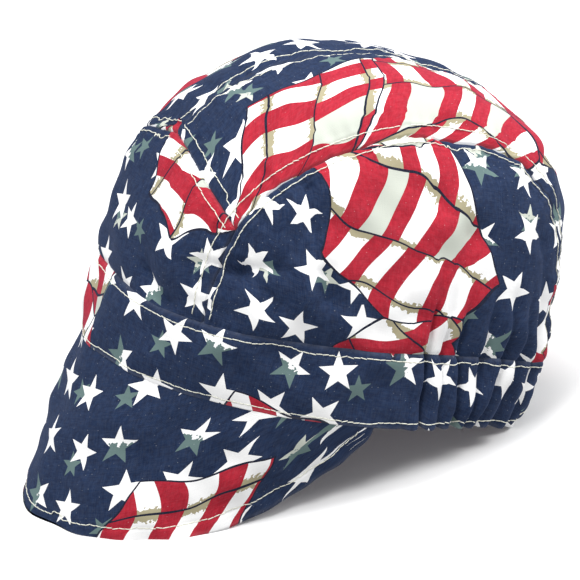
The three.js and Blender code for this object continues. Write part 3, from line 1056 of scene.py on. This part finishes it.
def patchwork(x, y):
    """The print: patches of stars and of stripes, the striped ones turned and outlined."""
    flat = point(x, y)
    shift_x, shift_y = PATCH_WANDER_SHIFT
    apart = point(x + shift_x, y + shift_y)
    bent_x = x + noise(flat, PATCH_WANDER_SIZE, 1.0) * PATCH_WANDER
    bent_y = y + noise(apart, PATCH_WANDER_SIZE, 1.0) * PATCH_WANDER
    bent = point(bent_x, bent_y)
    patch, beside, border = (
        cells(bent, PATCH_SIZE, PATCH_RANDOMNESS, feature)
        for feature in ("F1", "F2", "DISTANCE_TO_EDGE")
    )
    kind_draw, turn_draw, _ = parts(patch.outputs["Color"])
    beside_draw, _, _ = parts(beside.outputs["Color"])
    centre_x, centre_y, _ = parts(patch.outputs["Position"])
    turn = turn_draw * (2 * math.pi)
    own_x = bent_x - centre_x
    own_y = bent_y - centre_y
    turned_x = own_x * turn.cos() + own_y * turn.sin()
    turned_y = own_y * turn.cos() - own_x * turn.sin()

    brush = noise(flat, BRUSH_SIZE)
    mottle = noise(flat, *MOTTLE_GRAIN) * MOTTLE_SWING + MOTTLE_SHARE
    stars = star_cloth(x, y, brush, mottle)
    stripes = striped_cloth(turned_x, turned_y, brush, mottle)
    colour = layer(stars, stripes, kind_draw < STRIPED_SHARE)
    edge = Field(border.outputs["Distance"]) * PATCH_SIZE
    any_stripes = kind_draw.or_less(beside_draw) < STRIPED_SHARE
    return layer(colour, OUTLINE, (edge < OUTLINE_WIDTH) * any_stripes)


def worn_print(colour, x, y, threads, wear, inside):
    """The print as the cloth shows it: with threads, flecks, worn seams and a pale wrong side."""
    flat = point(x, y)
    colour = layer(colour, BARE_THREAD, threads * THREAD_SWING + THREAD_SHARE)
    flecks = cells(flat, FLECK_SPACING, 1.0)
    kind_draw, tone_draw, _ = parts(flecks.outputs["Color"])
    fleck = Field(flecks.outputs["Distance"]) < FLECK_SIZE / FLECK_SPACING
    fleck = fleck * (kind_draw > FLECKS_OVER)
    colour = layer(colour, FLECK, fleck * tone_draw.between(*FLECK_SHARE))
    wear = wear * (noise(flat, WEAR_SIZE) * WEAR_SWING + WEAR_SHARE)
    colour = layer(colour, WORN, wear)
    return layer(colour, WRONG_SIDE, inside * WRONG_SIDE_SHARE)


def new_material(name):
    """A material and its node tree."""
    material = bpy.data.materials.new(name)
    material.use_nodes = True
    return material, material.node_tree


def fill_shader(tree, values):
    """Gives the shader of a tree its values."""
    for name, value in values.items():
        fill(tree.nodes["Principled BSDF"].inputs[name], value)


def printed_cotton():
    """Cotton printed with stars and stripes in patches, from the cloth attribute."""
    material, tree = new_material("printed_cotton")
    x, y, inside = parts(attribute(tree, "cloth", "Vector"))
    wear = Field(attribute(tree, "wear", "Fac"))
    threads = noise(point(x / THREAD_STRETCH, y), THREAD_SIZE, 1.0)
    threads = threads + noise(point(x, y / THREAD_STRETCH), THREAD_SIZE, 1.0)
    crossings = (x * (math.pi / WEAVE_SPACING)).sin() * (y * (math.pi / WEAVE_SPACING)).sin()
    weave = crossings * WEAVE_SHARE + threads * WEAVE_THREAD_SHARE
    varied = {
        "Base Color": worn_print(patchwork(x, y), x, y, threads, wear, inside),
        "Roughness": noise(point(x, y), ROUGHNESS_SIZE) * ROUGHNESS_SWING + COTTON_ROUGHNESS,
        "Normal": field_of(weave, "ShaderNodeBump", **COTTON_BUMP, Height=weave),
    }
    fill_shader(tree, varied | COTTON_GLOSS)
    return material


def thread_material():
    """Off-white cotton thread with a twist."""
    material, tree = new_material("thread")
    place = Field(tree.nodes.new("ShaderNodeTexCoord").outputs["Object"])
    fibres, blotches = (
        field_of(place, "ShaderNodeTexNoise", Vector=place, Scale=density)
        for density in (FIBRE_DENSITY, BLOTCH_DENSITY)
    )
    varied = {
        "Base Color": layer(THREAD, THREAD_SHADE, blotches * BLOTCH_SHARE),
        "Roughness": fibres.between(*THREAD_ROUGHNESS),
        "Normal": field_of(fibres, "ShaderNodeBump", **THREAD_BUMP, Height=fibres),
    }
    fill_shader(tree, varied | THREAD_GLOSS)
    return material


# The stitches, and the rings of one: place along it, girth and height, as shares of its half
# length and radius.
STITCH_PITCH = 2.85
STITCH_LENGTH = 2.85
STITCH_RADIUS = 0.24
STITCH_STRAY = 0.15
STITCH_SEED = 5
STITCH_SIDES = 6
STITCH_RINGS = np.array(
    [(-1, 0.5, -0.5), (-0.88, 0.9, 0.15), (0, 1, 0.5), (0.88, 0.9, 0.15), (1, 0.5, -0.5)]
)

# Where a row beside each seam stops short of the seam's start and end.
ROW_CUTS = {"side": (1, 1), "chevron": (2, 1), "centre": (5, 1)}

# The rows' curves: how far over the cloth they start, from how far up the band's height the crown
# is looked at, and the points and shares of the rim's length that the others have.
ROW_LIFT = 3
BAND_ROW_LIFT = 2
ROW_MIDDLE_SHARE = 0.6
BAND_ROW_POINTS = 700
PEAK_ROW_POINTS = 420
PEAK_ROW_ENDS = (0.02, 0.98)


def row_values(at, length, values):
    """Values of a row's points at distances along it."""
    return np.stack([np.interp(at, length, column) for column in values.T], axis=-1)


def stitches(points, normals, chance):
    """Rings of points of the stitches along a row, shaped (stitches, rings, sides, 3)."""
    length = lengths_along(points)
    count = int(length[-1] / (STITCH_PITCH * MM))
    along, girth, lift = STITCH_RINGS.T
    middles = (np.arange(count) + 0.5) * STITCH_PITCH * MM
    at = middles[:, None] + along * STITCH_LENGTH * MM / 2
    place = row_values(at, length, points)
    up = unit(row_values(at, length, normals))
    ahead = row_values(at + MM, length, points) - row_values(at - MM, length, points)
    aside = unit(np.cross(ahead, up))
    slant, shift = np.moveaxis(chance.normal(0, STITCH_STRAY * MM, (count, 2, 1)), 1, 0)
    swing = slant[:, None] * along[:, None] + shift[:, None] / 2
    centre = place + up * (lift * STITCH_RADIUS * MM)[:, None] + aside * swing
    turns = np.linspace(0, 2 * np.pi, STITCH_SIDES, endpoint=False)[:, None]
    ring = np.cos(turns) * aside[:, :, None] + np.sin(turns) * up[:, :, None]
    return centre[:, :, None] + ring * (girth * STITCH_RADIUS * MM)[:, None, None]


def add_stitching(name, rows, material):
    """One mesh of the stitches along several rows; a row is points with normals, in metres."""
    chance = np.random.default_rng(STITCH_SEED)
    made = np.concatenate([stitches(points, normals, chance) for points, normals in rows])
    count, rings = made.shape[:2]
    first = np.arange(count)[:, None, None] * rings * STITCH_SIDES
    ring = np.arange(rings - 1)[None, :, None] * STITCH_SIDES
    side = np.arange(STITCH_SIDES)
    beside = (side + 1) % STITCH_SIDES
    here = first + ring + side
    there = first + ring + beside
    walls = np.stack([here, there, there + STITCH_SIDES, here + STITCH_SIDES], axis=-1)
    foot = first[:, 0] + side[::-1]
    head = first[:, 0] + (rings - 1) * STITCH_SIDES + side
    faces = walls.reshape(-1, 4).tolist() + foot.tolist() + head.tolist()
    return add_thing(name, made.reshape(-1, 3), faces, material)


def offset_curve(curve, offset, start_cut, end_cut):
    """A seam's curve moved sideways over the form, and shortened at its ends."""
    length = lengths_along(curve)
    at = np.linspace(start_cut, length[-1] - end_cut, int(length[-1]))
    even = row_values(at, length, curve)
    outward = unit(even - [0, 0, BAND_HEIGHT * ROW_MIDDLE_SHARE])
    ahead = unit(np.gradient(even, axis=0))
    return even + unit(np.cross(outward, ahead)) * offset + outward * ROW_LIFT


def laid_on(curve, trees):
    """A curve of the cap's frame laid on the nearest cloth, with the cloth's normals."""
    places = []
    normals = []
    for start in to_frame(curve):
        hits = [tree.find_nearest(Vector(start)) for tree in trees]
        place, normal, _, _ = min(hits, key=lambda hit: hit[3])
        places.append(place)
        normals.append(normal)
    return np.array(places, float), np.array(normals, float)


def tree_of(thing):
    """A tree for finding the nearest place on a mesh."""
    mesh = thing.data
    places = [vertex.co for vertex in mesh.vertices]
    return BVHTree.FromPolygons(places, [tuple(face.vertices) for face in mesh.polygons])


def crown_rows(trees):
    """The rows on both sides of the crown's seams. A half has one row of the centre seam's two."""
    rows = []
    for side in (1, -1):
        for offset in (ROW_OFFSET, -ROW_OFFSET):
            for seam, cuts in ROW_CUTS.items():
                if seam == "centre" and offset < 0:
                    continue
                curve = offset_curve(SEAMS[seam], offset, *cuts) * [side, 1, 1]
                rows.append(laid_on(curve, trees))
    return rows


def band_rows(tree):
    """The rows under the headband's upper edge and over its lower edge."""
    around = np.linspace(-180, 180, BAND_ROW_POINTS)
    rows = []
    for height in (0 * around + BAND_HEIGHT - BAND_ROW, foot_row(around)):
        curve = on_band(around, height)
        curve[:, 2] = height
        out = BAND_ROW_LIFT - gather_depth(around, height)
        rows.append(laid_on(curve + unit(curve * [1, 1, 0]) * out[:, None], [tree]))
    return rows


def peak_row(tree):
    """The row inside the peak's rim."""
    rim, outward = peak_form(np.linspace(*PEAK_ROW_ENDS, PEAK_ROW_POINTS)[:, None], np.array([[0.0]]))
    rim = rim[:, 0]
    outward = outward[:, 0]
    inward = unit(np.cross(unit(np.gradient(rim, axis=0)), outward))
    inward = inward * np.sign(inward[:, 2:])
    return laid_on(rim + inward * PEAK_ROW + outward, [tree])


# The camera: where it stands and what it looks at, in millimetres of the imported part's frame, its
# roll in degrees, and how far it sees, in metres.
CAMERA_PLACE = (1221.94, -406.17, 616.62)
CAMERA_AIM = (0, 5.17, 70.21)
CAMERA_ROLL = -7.477
CAMERA_LENS = 194.92
CAMERA_REACH = 20
SENSOR = 36


def add_camera():
    """A long lens at the photograph's angle, rolled as the photograph is."""
    camera = bpy.data.objects.new("camera", bpy.data.cameras.new("camera"))
    place = Vector(CAMERA_PLACE) * MM
    back = (place - Vector(CAMERA_AIM) * MM).normalized()
    level_right = Vector((0, 0, 1)).cross(back).normalized()
    level_up = back.cross(level_right)
    roll = math.radians(CAMERA_ROLL)
    right = level_right * math.cos(roll) + level_up * math.sin(roll)
    up = level_up * math.cos(roll) - level_right * math.sin(roll)
    turn = Matrix((right, up, back)).transposed().to_4x4()
    camera.matrix_world = Matrix.Translation(place) @ turn
    camera.data.lens = CAMERA_LENS
    camera.data.sensor_width = SENSOR
    camera.data.clip_end = CAMERA_REACH
    bpy.context.scene.collection.objects.link(camera)
    bpy.context.scene.camera = camera


# The lights: place in metres, size and power. All of them aim at the cap.
LIGHTS = {
    "key": ((1.3, -1.4, 2.1), 1, 38),
    "top": ((0.1, 0, 2.6), 1.2, 38),
    "back": ((0.7, 2.1, 1.5), 1.2, 48),
}
LIGHT_AIM = (0, 0, 0.08)
WORLD_STRENGTH = 0.52
FLOOR_HALF = 6
FLOOR_ROUGHNESS = 0.9


def add_light(name, place, size, power):
    """A round soft light."""
    data = bpy.data.lights.new(name, "AREA")
    data.shape = "DISK"
    data.size = size
    data.energy = power
    light = bpy.data.objects.new(name, data)
    light.location = place
    light.rotation_euler = (Vector(LIGHT_AIM) - Vector(place)).to_track_quat("-Z", "Y").to_euler()
    bpy.context.scene.collection.objects.link(light)


def add_world():
    """Even white light from all sides, and colours shown as they are."""
    world = bpy.data.worlds.new("studio")
    world.use_nodes = True
    background = world.node_tree.nodes["Background"]
    background.inputs["Color"].default_value = (1, 1, 1, 1)
    background.inputs["Strength"].default_value = WORLD_STRENGTH
    bpy.context.scene.world = world
    bpy.context.scene.view_settings.view_transform = "Standard"


def add_floor():
    """A white floor that throws no light back onto the cap."""
    material, tree = new_material("floor")
    fill_shader(tree, {"Base Color": FLOOR, "Roughness": FLOOR_ROUGHNESS})
    corners = [(-1, -1, 0), (1, -1, 0), (1, 1, 0), (-1, 1, 0)]
    floor = add_thing("floor", np.array(corners) * FLOOR_HALF, [(0, 1, 2, 3)], material)
    floor.visible_diffuse = False
    return floor


# Where each piece is cut from the print: turn, shift along and shift across.
LAYOUTS = {
    "crown_front": (84.5, 110, 748),
    "crown_left": (-9.9, 721, 540),
    "crown_right": (-174, 524, 473),
    "side_left": (3.1, 806, 518),
    "side_right": (-11.9, 552, 300),
    "headband": (2.4, 631, 782),
    "peak": (-11.1, 653, 777),
}

# Each piece's cut: width and length of the flat cloth, its area, and how it is held.
CUTS = {
    "crown_front": ((0.125, 0.085), 0.0075, "stretched"),
    "crown_left": ((0.075, 0.27), 0.016, "stretched"),
    "crown_right": ((0.075, 0.27), 0.016, "stretched"),
    "side_left": ((0.19, 0.1), 0.0138, "stretched"),
    "side_right": ((0.19, 0.1), 0.0138, "stretched"),
    "headband": ((0.033, 0.62), 0.02, "gathered"),
    "peak": ((0.27, 0.082), 0.0165, "stretched"),
}
RESTS_ON = {name: ["headband"] for name in CUTS}
RESTS_ON["headband"] = ["peak"]

add_camera()
cotton = printed_cotton()
thread = thread_material()

pieces = {
    "crown_front": front_piece(),
    "crown_left": crown_piece(1),
    "crown_right": crown_piece(-1),
    "side_left": side_piece(1),
    "side_right": side_piece(-1),
    "headband": band_piece(),
    "peak": peak_piece(),
}

trees = {}
for name, piece in pieces.items():
    thing = add_cloth(f"{name}_cloth", piece, LAYOUTS[name], cotton)
    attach(thing, "root")
    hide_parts(name)
    trees[name] = tree_of(thing)

sewn_rows = {
    "crown": crown_rows([trees[name] for name in pieces if name not in ("headband", "peak")]),
    "headband": band_rows(trees["headband"]),
    "peak": [peak_row(trees["peak"])],
}
for name, rows in sewn_rows.items():
    stitching = add_stitching(f"stitching_{name}", rows, thread)
    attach(stitching, "root")

for name, (place, size, power) in LIGHTS.items():
    add_light(name, place, size, power)
add_world()
floor = add_floor()
